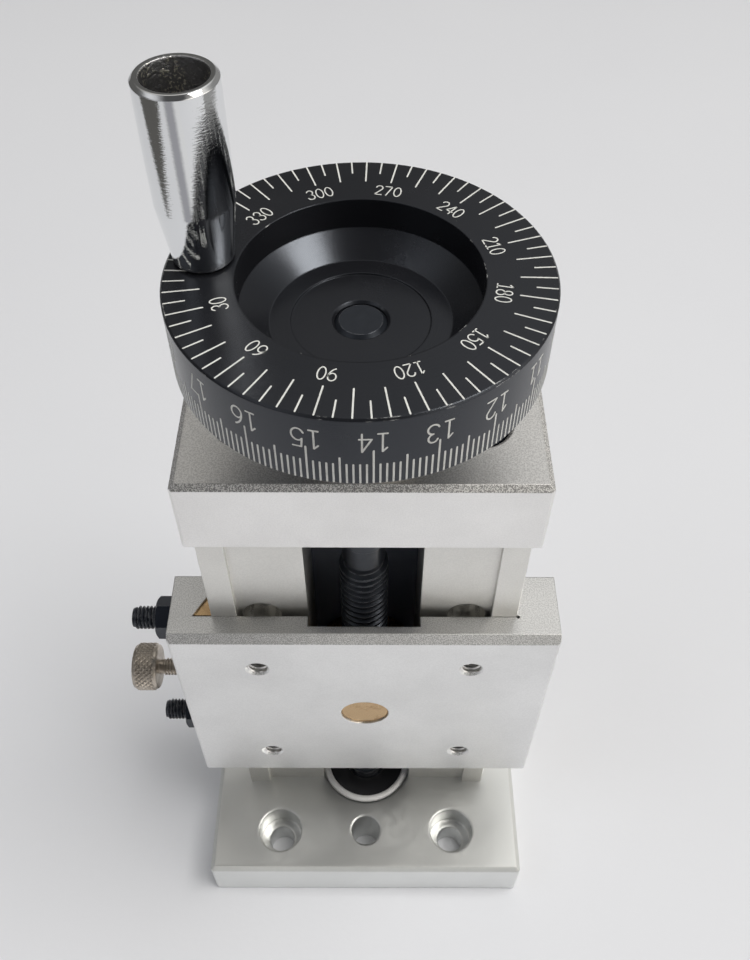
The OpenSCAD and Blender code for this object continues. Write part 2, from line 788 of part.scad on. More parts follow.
// Turned brass nut: round body across the screw, and a stem through the carriage
module lead_nut() {
    body_y = y_notch + slide_gap;
    stem_y = y_front + nut_stem_sink;
    stem_face_d = nut_stem_d - 2 * nut_stem_bevel;
    color(brass)
        translate([0, 0, car_mid])
            difference() {
                rotate([-90, 0, 0])
                    union() {
                        translate([0, 0, body_y]) cylinder(d = nut_d, h = nut_back - body_y);
                        translate([0, 0, stem_y + nut_stem_bevel])
                            cylinder(d = nut_stem_d, h = body_y - stem_y - nut_stem_bevel + over);
                        translate([0, 0, stem_y])
                            cylinder(d1 = stem_face_d, d2 = nut_stem_d, h = nut_stem_bevel);
                    }
                translate([0, 0, -nut_d]) cylinder(d = screw_d + 2 * turn_gap, h = 2 * nut_d);
            }
}

// Adjusting screws that press the gib against the rail
module gib_screws() {
    length = dimple_x - side_x + lock_nut_t + gib_screw_stub;
    color(black_oxide)
        for (z = gib_screw_z)
            translate([dimple_x, y_side, z]) set_screw(gib_screw_d, length, dimple_d, point_len);
}

// Hexagon lock nuts with bevelled corners, on the adjusting screws
module lock_nuts() {
    corner_r = lock_nut_af / cos(30) / 2;
    bevel_h = 0.35;
    color(black_oxide)
        for (z = gib_screw_z)
            translate([side_x, y_side, z])
                rotate([0, -90, 0])
                    difference() {
                        intersection() {
                            hexagon(lock_nut_af, lock_nut_t);
                            rotate_extrude()
                                polygon([
                                    [0, 0], [corner_r, 0], [corner_r, lock_nut_t - bevel_h],
                                    [lock_nut_af / 2, lock_nut_t], [0, lock_nut_t]
                                ]);
                        }
                        translate([0, 0, -over]) cylinder(d = gib_screw_d, h = lock_nut_t + 2 * over);
                    }
}

// Knurled thumb screw that locks the carriage by pressing on the gib
module lock_screw() {
    knob_bevel = 0.7;
    tip_gap = 0.1;
    shank_r = lock_screw_d / 2;
    point_r = dimple_d / 2 - turn_gap;
    knob_r = knob_d / 2;
    reach = dimple_x - side_x - tip_gap;
    knob_z = reach + knob_stand;
    end_z = knob_z + knob_len;
    color(steel)
        translate([dimple_x - tip_gap, y_side, car_mid])
            rotate([0, -90, 0])
                rotate_extrude()
                    polygon([
                        [0, 0], [point_r, 0], [point_r, point_len], [shank_r, point_len], [shank_r, knob_z],
                        [knob_r - knob_bevel, knob_z], [knob_r, knob_z + knob_bevel],
                        [knob_r, end_z - knob_bevel], [knob_r - knob_bevel, end_z], [0, end_z]
                    ]);
}

base_plate();
rail();
slot_strip();
bearing_block();
upper_outer_rings();
upper_seals();
bearing_retainer();
lower_outer_ring();
lower_seals();
block_screws();
base_screws();
lead_screw();
upper_inner_rings();
lower_inner_ring();
lock_collar();
collar_screw();
handwheel();
hub_screws();
handle_bolt();
handle_sleeve();
carriage_plate();
gib();
lead_nut();
gib_screws();
lock_nuts();
lock_screw();
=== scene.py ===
"""Looks of a dovetail z-axis stage: finishes, threads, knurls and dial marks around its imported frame."""
import json
import math

import bmesh
import bpy
from mathutils import Matrix, Vector

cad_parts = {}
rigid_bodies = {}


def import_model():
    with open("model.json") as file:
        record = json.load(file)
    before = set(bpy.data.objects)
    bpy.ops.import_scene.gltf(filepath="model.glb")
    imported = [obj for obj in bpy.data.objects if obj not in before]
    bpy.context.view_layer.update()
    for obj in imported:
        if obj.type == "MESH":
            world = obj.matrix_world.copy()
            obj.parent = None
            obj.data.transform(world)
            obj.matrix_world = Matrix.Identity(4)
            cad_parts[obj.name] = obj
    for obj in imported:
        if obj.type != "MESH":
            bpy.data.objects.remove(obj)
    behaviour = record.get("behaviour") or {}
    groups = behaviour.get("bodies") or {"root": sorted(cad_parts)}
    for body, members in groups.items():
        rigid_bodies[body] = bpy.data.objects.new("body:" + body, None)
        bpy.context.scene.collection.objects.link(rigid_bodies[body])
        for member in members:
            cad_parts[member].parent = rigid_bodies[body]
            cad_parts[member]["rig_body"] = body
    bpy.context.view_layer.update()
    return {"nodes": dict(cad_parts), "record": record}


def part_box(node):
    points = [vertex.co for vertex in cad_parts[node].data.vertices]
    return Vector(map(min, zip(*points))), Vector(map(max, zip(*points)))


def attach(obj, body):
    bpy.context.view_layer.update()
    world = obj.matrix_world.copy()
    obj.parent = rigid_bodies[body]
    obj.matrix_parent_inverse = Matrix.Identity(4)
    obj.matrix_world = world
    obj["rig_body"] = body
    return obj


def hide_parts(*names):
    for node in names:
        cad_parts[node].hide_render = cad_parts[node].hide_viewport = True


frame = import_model()

# Meshes are written in millimetres and turned into metres by piece()
MM = 0.001
TURN = 2 * math.pi
# Edges that turn by more than this stay sharp
SHARP_EDGE = math.radians(32)
NODES = frame["nodes"]
RECORD = frame["record"]
SLOT_OF = {part["node"]: part["material_slot"] for part in RECORD["subparts"]}


def span(node):
    """Lowest corner, highest corner and middle of a node, in millimetres."""
    low, high = (Vector(corner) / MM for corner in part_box(node))
    return low, high, (low + high) / 2


def mount(name):
    """A mount of the record by its name."""
    return next(entry for entry in RECORD["mounts"] if entry["name"] == name)


# Mesh helpers: a shell is a list of points and a list of faces

def turned(profile, count=96, ring=False):
    """Shell of (radius, height) pairs turned round Z. A radius may be a function of the angle."""
    points = []
    rows = []
    for radius, height in profile:
        if radius == 0:
            rows.append([len(points)])
            points.append((0, 0, height))
            continue
        rows.append(list(range(len(points), len(points) + count)))
        for step in range(count):
            angle = TURN * step / count
            reach = radius(angle) if callable(radius) else radius
            points.append((reach * math.cos(angle), reach * math.sin(angle), height))
    faces = []
    for low, high in zip(rows, rows[1:] + (rows[:1] if ring else [])):
        for step in range(count):
            after = (step + 1) % count
            corners = [low[step % len(low)], low[after % len(low)],
                       high[after % len(high)], high[step % len(high)]]
            faces.append(tuple(dict.fromkeys(corners)))
    return points, faces


def rounded(corners, steps=5):
    """Profile through corners of (radius, height, fillet), with a curve at each fillet."""
    profile = []
    for index, (radius, height, fillet) in enumerate(corners):
        corner = Vector((radius, height))
        if fillet == 0:
            profile.append(tuple(corner))
            continue
        before = Vector(corners[index - 1][:2])
        after = Vector(corners[(index + 1) % len(corners)][:2])
        start = corner + (before - corner).normalized() * fillet
        end = corner + (after - corner).normalized() * fillet
        for step in range(steps + 1):
            t = step / steps
            profile.append(tuple(start * (1 - t) ** 2 + corner * 2 * t * (1 - t) + end * t ** 2))
    return profile


def thread_ridge(root, crest, pitch, start, end, count=40):
    """Shell of a right-hand ridge wound round Z from start to end, dying out in the root at both ends."""
    root_half = 0.44 * pitch
    crest_half = 0.16 * pitch
    buried = 0.05 * pitch
    fade_turns = 0.6
    least_rise = 0.03
    sunk = root - math.copysign(buried, crest - root)
    turns = (end - start) / pitch
    last = round(turns * count)
    points = []
    faces = []
    for step in range(last + 1):
        turn = step / count
        near_end = min(turn, turns - turn) / fade_turns
        ease = max(least_rise, min(1, near_end))
        top = sunk + (crest - sunk) * ease
        angle = TURN * turn
        height = start + pitch * turn
        for reach, side in ((sunk, -root_half), (top, -crest_half), (top, crest_half), (sunk, root_half)):
            points.append((reach * math.cos(angle), reach * math.sin(angle), height + side))
    for step in range(last):
        here = 4 * step
        for side in range(4):
            after = (side + 1) % 4
            faces.append((here + side, here + after, here + 4 + after, here + 4 + side))
    faces.append((0, 1, 2, 3))
    faces.append(tuple(4 * last + side for side in range(4)))
    return points, faces


def moved(shell, place):
    """A shell carried by a matrix."""
    points, faces = shell
    return [tuple(place @ Vector(point)) for point in points], faces


def hexagon(across_flats):
    """Radius of a hexagon as a function of the angle."""
    def reach(angle):
        return across_flats / 2 / math.cos((angle % (TURN / 6)) - TURN / 12)
    return reach


def piece(name, shells, body, slot, material, stands_for=()):
    """One object made of closed shells, which rides on a body and may stand for CAD nodes."""
    points = []
    faces = []
    for shell_points, shell_faces in shells:
        first = len(points)
        points += [Vector(point) * MM for point in shell_points]
        faces += [tuple(first + index for index in face) for face in shell_faces]
    mesh = bpy.data.meshes.new(name)
    mesh.from_pydata(points, [], faces)
    solid = bmesh.new()
    solid.from_mesh(mesh)
    bmesh.ops.recalc_face_normals(solid, faces=solid.faces)
    solid.to_mesh(mesh)
    solid.free()
    mesh.shade_smooth()
    mesh.set_sharp_from_angle(angle=SHARP_EDGE)
    mesh.materials.append(material)
    made = bpy.data.objects.new(name, mesh)
    bpy.context.scene.collection.objects.link(made)
    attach(made, body)
    if stands_for:
        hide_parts(*stands_for)
    return made


# Shader helpers

def plug(tree, socket, value):
    """Links a socket to another one, or sets it to a value."""
    if isinstance(value, bpy.types.NodeSocket):
        tree.links.new(value, socket)
    else:
        socket.default_value = (*value, 1) if socket.type == "RGBA" else value


def add(tree, kind, inputs=None, **settings):
    """A node with its settings, whose inputs are linked to sockets or set to values."""
    made = tree.nodes.new(kind)
    for key, value in settings.items():
        setattr(made, key, value)
    for key, value in (inputs or {}).items():
        plug(tree, made.inputs[key], value)
    return made


def maths(tree, operation, *values):
    """The result of a Math node."""
    return add(tree, "ShaderNodeMath", dict(enumerate(values)), operation=operation).outputs[0]


def vector_maths(tree, operation, *values):
    """The outputs of a Vector Math node."""
    return add(tree, "ShaderNodeVectorMath", dict(enumerate(values)), operation=operation).outputs


def own_place(tree):
    """Place on the object, in its own coordinates."""
    return add(tree, "ShaderNodeTexCoord").outputs["Object"]


def split(tree, vector):
    """The three parts of a vector."""
    return add(tree, "ShaderNodeSeparateXYZ", {0: vector}).outputs


def stepped(tree, value, low, high, to_low=0.0, to_high=1.0):
    """A value carried smoothly from one range to another."""
    inputs = {"Value": value, "From Min": low, "From Max": high, "To Min": to_low, "To Max": to_high}
    return add(tree, "ShaderNodeMapRange", inputs, interpolation_type="SMOOTHSTEP").outputs[0]


def raised(tree, base, mask, more):
    """A base value with more added where a mask is."""
    return maths(tree, "MULTIPLY_ADD", mask, more, base)


def blended(tree, factor, first, second):
    """A colour between two colours."""
    return add(tree, "ShaderNodeMix", {0: factor, 6: first, 7: second}, data_type="RGBA").outputs[2]


def covered(tree, tone, mask, share, colour):
    """A tone with a share of another colour laid over it where a mask is."""
    return blended(tree, maths(tree, "MULTIPLY", mask, share), tone, colour)


def noise(tree, scale, detail=2.0, vector=None):
    """Fractal noise over the object's own coordinates, or over a vector."""
    inputs = {"Scale": scale, "Detail": detail, "Vector": vector or own_place(tree)}
    return add(tree, "ShaderNodeTexNoise", inputs).outputs[0]


def drawn_out(tree, stretch, detail=2.0):
    """Noise with a scale of its own along each axis, for tool lines."""
    along = add(tree, "ShaderNodeMapping", {"Vector": own_place(tree), "Scale": stretch}).outputs[0]
    return noise(tree, 1.0, detail, along)


def bumped(tree, height, distance, under=None):
    """A normal raised by a height, over another normal."""
    inputs = {"Height": height, "Distance": distance, "Strength": 1.0}
    if under:
        inputs["Normal"] = under
    return add(tree, "ShaderNodeBump", inputs).outputs[0]


# Effects that several finishes share

FLOAT = "NodeSocketFloat"
VECTOR = "NodeSocketVector"


def group(name, inputs, outputs):
    """A shader group with named sockets, and the sockets inside it."""
    tree = bpy.data.node_groups.new(name, "ShaderNodeTree")
    for label, kind, value in inputs:
        tree.interface.new_socket(label, in_out="INPUT", socket_type=kind).default_value = value
    for label, kind in outputs:
        tree.interface.new_socket(label, in_out="OUTPUT", socket_type=kind)
    inside = tree.nodes.new("NodeGroupInput").outputs
    result = tree.nodes.new("NodeGroupOutput").inputs
    return tree, inside, result


def make_blasted_grain():
    """Shallow dents left by bead blasting, with a faint change of tone from patch to patch."""
    tree, inside, result = group(
        "blasted_grain", [("Grains", FLOAT, 2500.0)], [("Height", FLOAT), ("Tone", FLOAT)])
    wider = maths(tree, "MULTIPLY", inside["Grains"], 0.45)
    fine = maths(tree, "MULTIPLY", noise(tree, inside["Grains"], 3.0), 0.65)
    dents = maths(tree, "MULTIPLY", noise(tree, wider, 1.0), 0.35)
    tree.links.new(maths(tree, "ADD", fine, dents), result["Height"])
    tree.links.new(noise(tree, 55.0, 4.0), result["Tone"])
    return tree


def make_soft_edges():
    """Edges eased by handling: a rounded normal and a broken mask along each edge."""
    tree, inside, result = group(
        "soft_edges", [("Radius", FLOAT, 0.0003)], [("Normal", VECTOR), ("Mask", FLOAT)])
    eased = add(tree, "ShaderNodeBevel", {"Radius": inside["Radius"]}, samples=6).outputs[0]
    face = add(tree, "ShaderNodeNewGeometry").outputs["Normal"]
    turn = vector_maths(tree, "DOT_PRODUCT", eased, face)["Value"]
    edge = stepped(tree, maths(tree, "SUBTRACT", 1.0, turn), 0.01, 0.16)
    ragged = stepped(tree, noise(tree, 900.0, 3.0), 0.35, 0.6)
    tree.links.new(eased, result["Normal"])
    tree.links.new(maths(tree, "MULTIPLY", edge, ragged), result["Mask"])
    return tree


def make_smudges():
    """Faint handling marks: wide patches crossed by a few finer streaks."""
    tree, inside, result = group("smudges", [("Size", FLOAT, 60.0)], [("Mask", FLOAT)])
    wide = stepped(tree, noise(tree, inside["Size"], 5.0), 0.42, 0.68)
    fine = noise(tree, maths(tree, "MULTIPLY", inside["Size"], 9.0), 2.0)
    tree.links.new(maths(tree, "MULTIPLY", wide, stepped(tree, fine, 0.2, 0.75)), result["Mask"])
    return tree


def make_turned_lines():
    """Fine rings left by a lathe, round the axis of the lead screw."""
    tree, inside, result = group("turned_lines", [("Lines", FLOAT, 9000.0)], [("Height", FLOAT)])
    x, y, z = split(tree, own_place(tree))
    squares = maths(tree, "ADD", maths(tree, "POWER", x, 2.0), maths(tree, "POWER", y, 2.0))
    across = maths(tree, "SQRT", squares)
    path = add(tree, "ShaderNodeCombineXYZ", {0: across, 1: z, 2: 0.0}).outputs[0]
    tree.links.new(noise(tree, inside["Lines"], 1.0, path), result["Height"])
    return tree


def make_specks():
    """Sparse small marks, such as dust or nicks, of uneven size."""
    tree, inside, result = group(
        "specks", [("Spacing", FLOAT, 300.0), ("Share", FLOAT, 0.1)], [("Mask", FLOAT)])
    inputs = {"Scale": inside["Spacing"], "Vector": own_place(tree)}
    cells = add(tree, "ShaderNodeTexVoronoi", inputs).outputs
    lot = add(tree, "ShaderNodeSeparateColor", {0: cells["Color"]}).outputs
    chosen = maths(tree, "LESS_THAN", lot[0], inside["Share"])
    reach = maths(tree, "MULTIPLY_ADD", lot[1], 0.05, 0.015)
    near = maths(tree, "LESS_THAN", cells["Distance"], reach)
    tree.links.new(maths(tree, "MULTIPLY", chosen, near), result["Mask"])
    return tree


def make_leaning():
    """Masks of faces by how far they look up: bevels, between two tilts, and level faces."""
    tree, inside, result = group(
        "leaning", [("Steep", FLOAT, 0.55), ("Flat", FLOAT, 0.84)], [("Bevel", FLOAT), ("Level", FLOAT)])
    facing = add(tree, "ShaderNodeTexCoord").outputs["Normal"]
    tilt = maths(tree, "ABSOLUTE", split(tree, facing)[2])
    above = stepped(tree, tilt, inside["Steep"], maths(tree, "ADD", inside["Steep"], 0.07))
    below = stepped(tree, tilt, inside["Flat"], maths(tree, "SUBTRACT", inside["Flat"], 0.06))
    tree.links.new(maths(tree, "MULTIPLY", above, below), result["Bevel"])
    tree.links.new(stepped(tree, tilt, 0.9, 0.98), result["Level"])
    return tree


BLASTED = make_blasted_grain()
SOFT_EDGES = make_soft_edges()
SMUDGES = make_smudges()
TURNED = make_turned_lines()
SPECKS = make_specks()
LEANING = make_leaning()


def effect(tree, shared, **inputs):
    """A shared effect placed in a material with its own values. Returns its outputs."""
    return add(tree, "ShaderNodeGroup", inputs, node_tree=shared).outputs


# Finishes

# Black skins mirror a little bluish
BLUE_SHEEN = (0.8, 0.87, 1.0)


def finish(name):
    """A new material, its node tree and its shader."""
    material = bpy.data.materials.new(name)
    material.use_nodes = True
    tree = material.node_tree
    return material, tree, tree.nodes["Principled BSDF"]


def feed(tree, shader, **inputs):
    """Links or sets a shader's inputs, named with underscores for spaces."""
    for key, value in inputs.items():
        plug(tree, shader.inputs[key.replace("_", " ")], value)


def blasted_aluminium(name, tint, pepper, salt):
    """Bead-blasted, clear anodised aluminium. Pepper lays dark specks on its bevels and finer salt on its
    level faces: painted shade, a glitter of grains standing for facets that the light misses.
    """
    material, tree, shader = finish(name)
    grain = effect(tree, BLASTED, Grains=1900.0)
    edges = effect(tree, SOFT_EDGES, Radius=0.0003)
    marks = effect(tree, SMUDGES, Size=45.0)
    nicks = effect(tree, SPECKS, Spacing=300.0, Share=0.02)
    leaning = effect(tree, LEANING, Steep=0.55, Flat=0.84)
    # Painted shade: dark glittering specks on the bevels, and finer ones on the level faces
    bevel_shade_specks = stepped(tree, noise(tree, 5200.0, 1.0), 0.56, 0.45)
    bevel_shade_specks = maths(tree, "MULTIPLY", bevel_shade_specks, leaning["Bevel"])
    fine = stepped(tree, noise(tree, 3900.0, 2.0), 0.58, 0.42)
    fine = maths(tree, "MULTIPLY", fine, raised(tree, 0.05, leaning["Level"], salt))
    dull = tuple(0.92 * part for part in tint)
    dark = tuple(0.12 * part for part in tint)
    tone = blended(tree, stepped(tree, grain["Tone"], 0.3, 0.7), dull, tint)
    tone = blended(tree, raised(tree, fine, bevel_shade_specks, pepper), tone, dark)
    tone = covered(tree, tone, nicks["Mask"], 0.6, (0.25, 0.25, 0.25))
    tone = covered(tree, tone, edges["Mask"], 0.6, (0.97, 0.97, 0.96))
    roughness = raised(tree, 0.4, marks["Mask"], 0.06)
    roughness = raised(tree, roughness, leaning["Bevel"], 0.25)
    normal = bumped(tree, grain["Height"], 0.00004, edges["Normal"])
    feed(tree, shader, Base_Color=tone, Metallic=1.0, Roughness=roughness, Normal=normal)
    return material


def cut_thread(name):
    """Tapped aluminium inside a hole, oily and dull."""
    material, tree, shader = finish(name)
    marks = effect(tree, SMUDGES, Size=500.0)
    tone = blended(tree, marks["Mask"], (0.92, 0.91, 0.89), (0.62, 0.61, 0.6))
    roughness = raised(tree, 0.3, marks["Mask"], 0.2)
    normal = bumped(tree, noise(tree, 5000.0, 2.0), 0.00001)
    feed(tree, shader, Base_Color=tone, Metallic=1.0, Roughness=roughness, Normal=normal)
    return material


def milled_aluminium(name):
    """Satin base plate: fine mill lines under a clear anodised skin."""
    material, tree, shader = finish(name)
    edges = effect(tree, SOFT_EDGES, Radius=0.0009)
    marks = effect(tree, SMUDGES, Size=70.0)
    grain = effect(tree, BLASTED, Grains=1500.0)
    leaning = effect(tree, LEANING, Steep=0.55, Flat=0.84)
    lines = drawn_out(tree, (300.0, 5200.0, 5200.0))
    tone = blended(tree, grain["Tone"], (0.7, 0.71, 0.7), (0.82, 0.83, 0.82))
    tone = covered(tree, tone, edges["Mask"], 0.4, (0.92, 0.92, 0.91))
    roughness = raised(tree, 0.36, marks["Mask"], 0.1)
    roughness = raised(tree, roughness, leaning["Bevel"], 0.4)
    height = raised(tree, grain["Height"], lines, 0.5)
    normal = bumped(tree, height, 0.000012, edges["Normal"])
    feed(tree, shader, Base_Color=tone, Metallic=1.0, Roughness=roughness, Normal=normal)
    return material


def black_satin(name):
    """Turned and black anodised aluminium, with bright nicks on its top rim and a little dust."""
    material, tree, shader = finish(name)
    lines = effect(tree, TURNED, Lines=7000.0)
    edges = effect(tree, SOFT_EDGES, Radius=0.0003)
    marks = effect(tree, SMUDGES, Size=80.0)
    dust = effect(tree, SPECKS, Spacing=420.0, Share=0.03)
    rim_z = span("handwheel")[1].z
    height = split(tree, own_place(tree))[2]
    at_rim = stepped(tree, height, (rim_z - 1.0) * MM, (rim_z - 0.6) * MM)
    worn = stepped(tree, noise(tree, 240.0, 4.0), 0.57, 0.63)
    on_edge = maths(tree, "MINIMUM", 1.0, maths(tree, "MULTIPLY", edges["Mask"], 2.2))
    bare = maths(tree, "MULTIPLY", maths(tree, "MULTIPLY", worn, at_rim), on_edge)
    tone = blended(tree, noise(tree, 90.0, 4.0), (0.0065, 0.007, 0.0088), (0.012, 0.012, 0.0138))
    tone = covered(tree, tone, dust["Mask"], 0.18, (0.5, 0.5, 0.48))
    tone = blended(tree, bare, tone, (0.62, 0.62, 0.6))
    roughness = raised(tree, 0.22, marks["Mask"], 0.08)
    normal = bumped(tree, lines["Height"], 0.000006, edges["Normal"])
    feed(tree, shader, Base_Color=tone, Roughness=roughness, Normal=normal)
    feed(tree, shader, IOR=1.53, Specular_Tint=BLUE_SHEEN)
    return material


def black_oxide(name, dark, pale):
    """Oiled black oxide on steel: blue-black, worn paler on its edges."""
    material, tree, shader = finish(name)
    edges = effect(tree, SOFT_EDGES, Radius=0.00018)
    marks = effect(tree, SMUDGES, Size=300.0)
    tone = blended(tree, noise(tree, 700.0, 3.0), dark, pale)
    tone = covered(tree, tone, edges["Mask"], 0.8, (0.36, 0.36, 0.37))
    roughness = raised(tree, 0.3, marks["Mask"], 0.14)
    normal = bumped(tree, noise(tree, 4000.0, 2.0), 0.000004, edges["Normal"])
    feed(tree, shader, Base_Color=tone, Roughness=roughness, Normal=normal)
    feed(tree, shader, IOR=1.5, Specular_Tint=BLUE_SHEEN)
    return material


def black_strip(name):
    """Matte strip at the back of the slot, coloured a pale blue-grey: painted light that lifts its tone in
    the slot's deep shade.
    """
    material, tree, shader = finish(name)
    grain = effect(tree, BLASTED, Grains=2600.0)
    # Pale blue-grey instead of black: painted light for the slot's deep shade
    tone = blended(tree, grain["Tone"], (0.26, 0.29, 0.36), (0.36, 0.39, 0.47))
    roughness = stepped(tree, grain["Tone"], 0.2, 0.8, 0.42, 0.55)
    feed(tree, shader, Base_Color=tone, Roughness=roughness, Normal=bumped(tree, grain["Height"], 0.00001))
    return material


def nickel_plate(name, clean, stained, rough):
    """Satin nickel plate on steel, warm grey, stained in patches."""
    material, tree, shader = finish(name)
    edges = effect(tree, SOFT_EDGES, Radius=0.00012)
    marks = effect(tree, SMUDGES, Size=240.0)
    tone = blended(tree, marks["Mask"], clean, stained)
    tone = covered(tree, tone, edges["Mask"], 0.4, (0.8, 0.77, 0.72))
    roughness = raised(tree, rough, marks["Mask"], 0.16)
    normal = bumped(tree, noise(tree, 3000.0, 2.0), 0.000006, edges["Normal"])
    feed(tree, shader, Base_Color=tone, Metallic=1.0, Roughness=roughness, Normal=normal)
    return material


def ground_steel(name, bright, dull, rough):
    """Ground bearing steel with fine rings."""
    material, tree, shader = finish(name)
    lines = effect(tree, TURNED, Lines=12000.0)
    marks = effect(tree, SMUDGES, Size=200.0)
    tone = blended(tree, marks["Mask"], bright, dull)
    roughness = raised(tree, rough, marks["Mask"], 0.14)
    normal = bumped(tree, lines["Height"], 0.000002)
    feed(tree, shader, Base_Color=tone, Metallic=1.0, Roughness=roughness, Normal=normal)
    return material


def seal_rubber(name):
    """Moulded black rubber with a dull skin."""
    material, tree, shader = finish(name)
    marks = effect(tree, SMUDGES, Size=260.0)
    tone = blended(tree, marks["Mask"], (0.009, 0.009, 0.011), (0.022, 0.022, 0.024))
    roughness = raised(tree, 0.5, marks["Mask"], 0.15)
    normal = bumped(tree, noise(tree, 2500.0, 3.0), 0.000015)
    feed(tree, shader, Base_Color=tone, Roughness=roughness, Normal=normal)
    return material


def turned_brass(name, line_stretch):
    """Machined brass, a little tarnished, with its tool lines."""
    material, tree, shader = finish(name)
    edges = effect(tree, SOFT_EDGES, Radius=0.0002)
    marks = effect(tree, SMUDGES, Size=160.0)
    tone = blended(tree, marks["Mask"], (0.56, 0.385, 0.21), (0.42, 0.27, 0.14))
    tone = covered(tree, tone, edges["Mask"], 0.5, (0.86, 0.68, 0.42))
    roughness = raised(tree, 0.25, marks["Mask"], 0.15)
    normal = bumped(tree, drawn_out(tree, line_stretch), 0.000008, edges["Normal"])
    feed(tree, shader, Base_Color=tone, Metallic=1.0, Roughness=roughness, Normal=normal)
    return material


def chrome_plate(name):
    """Bright chrome over a turned tube: fine scratches fray its reflections, and its bore is dull grey and
    gritty, with bright gold patches on the grit that are painted glints.
    """
    material, tree, shader = finish(name)
    _, _, middle = span("handle_sleeve")
    axis = (middle.x * MM, middle.y * MM, 0)
    bore_edge = 4.7 * MM
    bore_fade = 0.3 * MM
    marks = effect(tree, SMUDGES, Size=220.0)
    pits = effect(tree, SPECKS, Spacing=520.0, Share=0.05)
    from_axis = vector_maths(tree, "SUBTRACT", own_place(tree), axis)["Vector"]
    level = vector_maths(tree, "MULTIPLY", from_axis, (1, 1, 0))["Vector"]
    across = vector_maths(tree, "LENGTH", level)["Value"]
    bore = stepped(tree, across, bore_edge, bore_edge - bore_fade)
    ripple = drawn_out(tree, (1300.0, 1300.0, 4600.0), 3.0)
    grit = noise(tree, 2600.0, 3.0)
    patches = stepped(tree, noise(tree, 230.0, 1.0), 0.5, 0.58)
    # Painted glints: bright gold patches on the bore's grit
    bore_glints = maths(tree, "MULTIPLY", stepped(tree, grit, 0.5, 0.62), patches)
    inside = blended(tree, bore_glints, (0.33, 0.33, 0.345), (0.98, 0.95, 0.82))
    tone = blended(tree, pits["Mask"], (0.8, 0.81, 0.82), (0.12, 0.11, 0.1))
    tone = blended(tree, bore, tone, inside)
    roughness = raised(tree, 0.035, marks["Mask"], 0.05)
    roughness = raised(tree, roughness, bore, 0.34)
    height = raised(tree, ripple, maths(tree, "MULTIPLY", grit, bore), 14.0)
    normal = bumped(tree, height, 0.000013)
    feed(tree, shader, Base_Color=tone, Metallic=1.0, Roughness=roughness, Normal=normal)
    return material


def dial_paint(name, pale):
    """Off-white filling of the dial marks, a little uneven."""
    material, tree, shader = finish(name)
    marks = effect(tree, SMUDGES, Size=500.0)
    clean = (pale, pale, 0.95 * pale)
    soiled = (0.78 * pale, 0.77 * pale, 0.74 * pale)
    tone = blended(tree, marks["Mask"], clean, soiled)
    roughness = stepped(tree, marks["Mask"], 0.0, 1.0, 0.45, 0.6)
    normal = bumped(tree, noise(tree, 6000.0, 2.0), 0.000006)
    feed(tree, shader, Base_Color=tone, Roughness=roughness, Normal=normal)
    return material


FINISH = {
    "matte_aluminium": blasted_aluminium("block_aluminium", (0.97, 0.96, 0.945), pepper=0.6, salt=0.2),
    "base_aluminium": milled_aluminium("milled_aluminium"),
    # The black strip is coloured pale blue-grey: painted light in the slot's shade
    "black_strip": black_strip("black_strip"),
    "black_anodised": black_satin("black_satin"),
    "black_oxide": black_oxide("black_oxide", (0.005, 0.0065, 0.011), (0.01, 0.012, 0.018)),
    "plain_steel": nickel_plate("nickel_plate", (0.62, 0.59, 0.545), (0.5, 0.47, 0.43), rough=0.24),
    "bearing_steel": ground_steel("ground_steel", (0.78, 0.785, 0.79), (0.66, 0.66, 0.66), rough=0.16),
    "seal_rubber": seal_rubber("seal_rubber"),
    "brass": turned_brass("turned_brass", line_stretch=(5000.0, 5000.0, 120.0)),
    "chrome": chrome_plate("chrome_plate"),
}
CUT_THREAD = cut_thread("cut_thread")
# Pieces whose finish differs a little from the others of their slot, some of them only by painted light and
# shade
OWN_FINISH = {
    # The rail and the carriage wear darker copies of the block's aluminium: painted shade for the light they
    # lose to falloff and to the block's shadow
    "rail": blasted_aluminium("rail_aluminium_shaded", (0.825, 0.815, 0.78), pepper=0.3, salt=0.08),
    "carriage_plate": blasted_aluminium("carriage_aluminium_shaded", (0.875, 0.875, 0.87), pepper=0.38, salt=0.2),
    # The lead screw wears a paler copy of the black oxide: painted light, for the light it catches in the
    # slot
    "lead_screw": black_oxide("spindle_oxide_painted_light", (0.008, 0.0092, 0.012), (0.017, 0.019, 0.0235)),
    "lower_outer_ring": ground_steel("frosted_steel", (0.93, 0.93, 0.93), (0.86, 0.86, 0.86), rough=0.75),
    "lead_nut": turned_brass("stem_brass", line_stretch=(2500.0, 90.0, 2500.0)),
    "lock_screw": nickel_plate("knob_nickel", (0.54, 0.485, 0.42), (0.31, 0.27, 0.23), rough=0.3),
}


def finish_of(node):
    """The finish that a node wears."""
    return OWN_FINISH.get(node) or FINISH[SLOT_OF[node]]


for node, solid in NODES.items():
    for holder in solid.material_slots:
        holder.material = finish_of(node)


def dress(name, shells, node):
    """A piece that rides on a node's body, wears the node's finish and stands for the node."""
    return piece(name, shells, NODES[node]["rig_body"], SLOT_OF[node], finish_of(node), (node,))


# Pieces that show more than their solids do

